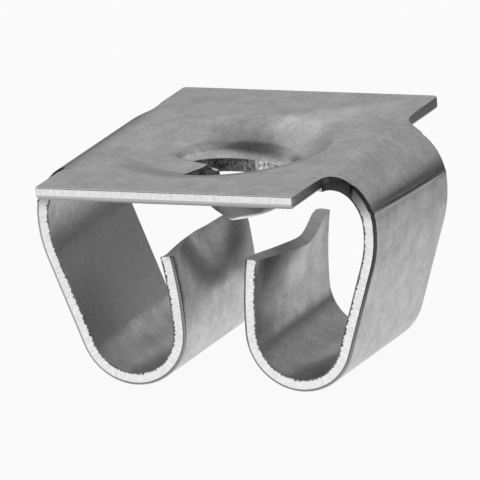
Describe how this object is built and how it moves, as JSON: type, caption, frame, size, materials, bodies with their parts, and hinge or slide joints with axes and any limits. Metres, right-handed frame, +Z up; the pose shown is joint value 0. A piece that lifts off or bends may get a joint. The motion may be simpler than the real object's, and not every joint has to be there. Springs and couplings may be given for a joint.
{
  "type": "u clip speed nut",
  "caption": "Folded spring steel clip that grips a panel edge and holds a screw in a slit, helically pressed hole in its flat top plate.",
  "frame": {"origin": "on the surface that the two feet stand on, under the middle of the plate", "axes": "+Z up from the feet to the plate along the screw's axis, +X from leg to leg, +Y across the strip to the back"},
  "size_m": [0.021, 0.0208, 0.0132],
  "materials": {
    "spring_steel": "satin, rolled sheet with bright sheared edges"
  },
  "bodies": {
    "root": {"spring_clip": "spring_steel"}
  },
  "joints": []
}
